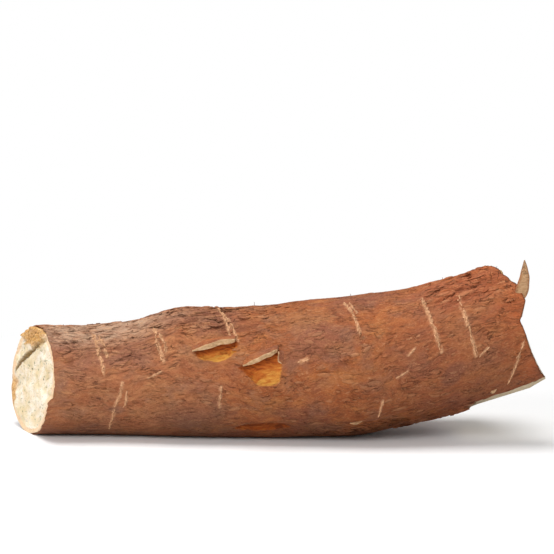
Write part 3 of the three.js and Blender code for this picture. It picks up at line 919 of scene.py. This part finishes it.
def copies(name, seed_piece, x, angle, length, width, heading, height, thickness, lift=None):
    """Copies a small seed onto the skin, each turned by its heading. With a lift, each is uneven and comes
    up along one side. Returns the piece, and how much each corner is raised."""
    seed_corners = corners_of(seed_piece)
    faces = [list(face.vertices) for face in seed_piece.data.polygons]
    bpy.data.objects.remove(seed_piece)
    u, v, w = np.repeat(seed_corners[None], len(x), 0).transpose(2, 0, 1)
    raised = v + 0.5
    if lift is not None:
        v = v * (1 - 0.8 * (2 * u) ** 2)
        uneven = draw.normal(0, 0.07, (2, len(x), len(seed_corners) // 2))
        u, v = u + np.tile(uneven[0], 2), v + np.tile(uneven[1], 2)
        side = np.sign(np.sin(SIDE_TOSS * x))[:, None]
        raised = np.clip(0.5 + side * v, 0, 1)
    along = u * length[:, None]
    across = v * width[:, None]
    cos, sin = np.cos(heading)[:, None], np.sin(heading)[:, None]
    at_x = x[:, None] + along * cos - across * sin
    at_angle = angle[:, None] + (along * sin + across * cos) / ARC_OF_DEGREE
    at_height = height[:, None] + w * thickness[:, None]
    if lift is not None:
        at_height += lift[:, None] * raised**1.4
    points = skin(at_x, at_angle, at_height).reshape(-1, 3)
    first_corner = np.arange(len(x))[:, None, None] * len(seed_corners)
    every = (np.array(faces)[None] + first_corner).reshape(-1, len(faces[0]))
    mesh = bpy.data.meshes.new(name)
    mesh.from_pydata(((points + (DRAWING_X, DRAWING_Y, 0)) / 1000).tolist(), [], every.tolist())
    piece = bpy.data.objects.new(name, mesh)
    bpy.context.collection.objects.link(piece)
    mesh.shade_smooth()
    mark(piece, "grain", rolled(at_x, at_angle).reshape(-1, 3))
    piece.data.materials.append(bark.data.materials[0])
    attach(piece, "root")
    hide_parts("cassava_root")
    return piece, raised


splinters = []
for line, width in SCARS:
    for (x0, angle0), (x1, angle1) in zip(line, line[1:]):
        run, rise = x1 - x0, (angle1 - angle0) * ARC_OF_DEGREE
        count = max(2, int(math.hypot(run, rise) / SPLINTER_SPACING))
        for share in (np.arange(count) + draw.random(count)) / count:
            off = draw.normal(0, 0.32 * width)
            splinters.append((
                x0 + run * share + off,
                angle0 + (angle1 - angle0) * share,
                math.atan2(rise, run) + draw.normal(0, 0.16),
                draw.uniform(1.4, 4.4),
            ))
x, angle, heading, length = np.array(splinters).T
bpy.ops.mesh.primitive_ico_sphere_add(subdivisions=1, radius=0.5)
height = bark_relief(x, angle)[0]
cork, _ = copies(
    "cork_splinters", bpy.context.object, x, angle, length, draw.uniform(0.35, 0.85, len(x)), heading,
    height + 0.05, draw.uniform(0.4, 0.9, len(x)),
)
mark(cork, "scar", np.ones(len(cork.data.vertices)))

# The bark flakes: thin scales of dead bark that have come loose along one side, mostly where the bark is
# coarse. Each is a small curved sheet with a thickness, copied over the skin.

FLAKES = 2500
TRIED = 4 * FLAKES
FLAKE_THICKNESS = 0.2
FLAKE_SUNK = 0.12
# None is this near to straight below, in degrees, up to where the stout end lifts off the table.
CLEAR_OF_TABLE = 24
LIFTS_OFF = 62
x = draw.uniform(-150, 140, TRIED)
angle = draw.uniform(0, 360, TRIED)
height, marks = bark_relief(x, angle)
held = (x > thin_edge(angle) + 5) & (x < stout_edge(angle) - 5)
above_table = (np.abs(turn_from(angle, 270)) > CLEAR_OF_TABLE) | (x > LIFTS_OFF)
loose = draw.random(len(x)) < 0.3 + 0.7 * marks["coarse"]
clear = marks["scar"] + marks["bare"] + marks["peeled"] < 0.05
chosen = np.flatnonzero(held & above_table & loose & clear)[:FLAKES]
x, angle, height = x[chosen], angle[chosen], height[chosen]
bpy.ops.mesh.primitive_grid_add(x_subdivisions=4, y_subdivisions=3, size=1)
flake = bpy.context.object
wall = flake.modifiers.new("thickness", "SOLIDIFY")
wall.thickness = 1
wall.offset = 0
bpy.ops.object.modifier_apply(modifier=wall.name)
size = draw.uniform(0, 1, len(x)) ** 2
heading = draw.normal(0, 0.16, len(x))
lift = (0.2 + 0.45 * marks["coarse"][chosen]) * draw.uniform(0.4, 1.4, len(x))
flakes, raised = copies(
    "bark_flakes", flake, x, angle, 2.2 + 5.5 * size, 0.9 + 1.9 * size, heading,
    height - FLAKE_SUNK, np.full(len(x), FLAKE_THICKNESS), lift,
)
# Each flake is paler by chance, and more so towards its lifted side as a painted highlight.
tone_and_highlight = draw.random(len(x))[:, None] ** 2 * (0.35 + 0.65 * raised)
mark(flakes, "tone_and_highlight", tone_and_highlight.ravel())
# The flakes take the bark's blotches and painted shade from where they lie.
for mark_name in ("weathered", "underside_shade", "warm", "dusky_and_shade"):
    mark(flakes, mark_name, np.repeat(marks[mark_name][chosen], tone_and_highlight.shape[1]))

# The root hairs: a few short stubs of fine dried roots and torn fibres, most of them on the stout end's
# broken edge. Each is a thin dark bar that stands on the skin.

HAIRS = 48
HAIR_WIDTH = 0.18
bpy.ops.mesh.primitive_cube_add(size=1)
edge_hairs = 2 * HAIRS // 3
x = np.concatenate([draw.uniform(-140, 130, HAIRS - edge_hairs), draw.normal(125, 4, edge_hairs)])
angle = np.concatenate([draw.uniform(0, 220, HAIRS - edge_hairs), draw.uniform(95, 150, edge_hairs)])
held = (x > thin_edge(angle) + 3) & (x < stout_edge(angle) - 1)
x, angle = x[held], angle[held]
hairs, _ = copies(
    "root_hairs", bpy.context.object, x, angle, np.full(len(x), HAIR_WIDTH), np.full(len(x), HAIR_WIDTH),
    draw.uniform(0, math.pi, len(x)), bark_relief(x, angle)[0] + 0.5, draw.uniform(1.2, 3.4, len(x)),
)
mark(hairs, "crack", np.ones(len(hairs.data.vertices)))

# The studio: a plain white floor that fades into a white sky, one large soft lamp overhead, one in front
# and a weak one on the right. Its places and sizes are in metres, and its lamps' powers in watts.

FLOOR_SIZE = 12.0
FADE_FROM = 0.17
FADE_TO = 0.42
SKY_LIGHT = 0.42
bpy.ops.mesh.primitive_plane_add(size=FLOOR_SIZE, location=(0, 0, 0))
floor = bpy.context.object
floor.name = "studio_floor"
floor_material, tree = new_material("matt_white_paper")
place = add_node(tree, "TexCoord", {}, "Object")
paper = add_node(tree, "TexNoise", {"Vector": place, "Scale": 250.0, "Detail": 2.0}, "Fac")
shader = add_node(tree, "BsdfPrincipled", {
    "Base Color": add_node(tree, "ValToRGB", {"Fac": paper}, stops=[(0.0, 0.9), (1.0, 0.92)]),
    "Roughness": 0.9,
})
away = add_node(tree, "VectorMath", {0: place}, "Value", operation="LENGTH")
fade_range = {"Value": away, "From Min": FADE_FROM, "From Max": FADE_TO}
fade = add_node(tree, "MapRange", fade_range, interpolation_type="SMOOTHSTEP")
glow = add_node(tree, "Emission", {"Strength": 1.0})
faded = add_node(tree, "MixShader", {0: fade, 1: shader, 2: glow})
add_node(tree, "OutputMaterial", {"Surface": faded})
floor.data.materials.append(floor_material)

world = bpy.data.worlds.new("white_studio")
bpy.context.scene.world = world
world.use_nodes = True
sky = world.node_tree
sky.nodes["Background"].inputs["Color"].default_value = (1, 1, 1, 1)
# The sky looks white, and lights the root more weakly.
seen = add_node(sky, "LightPath", {}, "Is Camera Ray")
strength = add_node(sky, "MapRange", {"Value": seen, "To Min": SKY_LIGHT, "To Max": 1.0})
sky.links.new(strength, sky.nodes["Background"].inputs["Strength"])


def softbox(name, place, target, size, power):
    """A square area lamp that faces a target."""
    bpy.ops.object.light_add(type="AREA", location=place)
    lamp = bpy.context.object
    lamp.name = name
    lamp.data.shape = "SQUARE"
    lamp.data.size = size
    lamp.data.energy = power
    away = Vector(place) - Vector(target)
    lamp.rotation_euler = away.to_track_quat("Z", "Y").to_euler()


softbox("overhead_softbox", (-0.25, 0.0, 1.15), (0, 0, 0), 0.6, 11)
softbox("front_softbox", (-0.5, -0.85, 0.65), (0, 0, 0.03), 0.5, 5.5)
softbox("right_softbox", (0.9, -0.35, 0.5), (0.05, 0, 0.04), 0.5, 0.4)

# The camera stands where the photograph was taken from: low in front of the root, with the root in the
# lower part of its frame. Its angles are in degrees.

TARGET_HEIGHT = 37
DISTANCE = 800
ELEVATION = 10
PITCH = 6.35
FIELD_OF_VIEW = 22

bpy.ops.object.camera_add()
camera = bpy.context.object
elevation = math.radians(ELEVATION)
camera.location = (
    DRAWING_X / 1000,
    (DRAWING_Y - DISTANCE * math.cos(elevation)) / 1000,
    (TARGET_HEIGHT + DISTANCE * math.sin(elevation)) / 1000,
)
camera.rotation_euler = (math.radians(90 - PITCH), 0, 0)
camera.data.angle = math.radians(FIELD_OF_VIEW)
camera.data.clip_start = 0.01
bpy.context.scene.camera = camera
bpy.context.scene.view_settings.view_transform = "Standard"
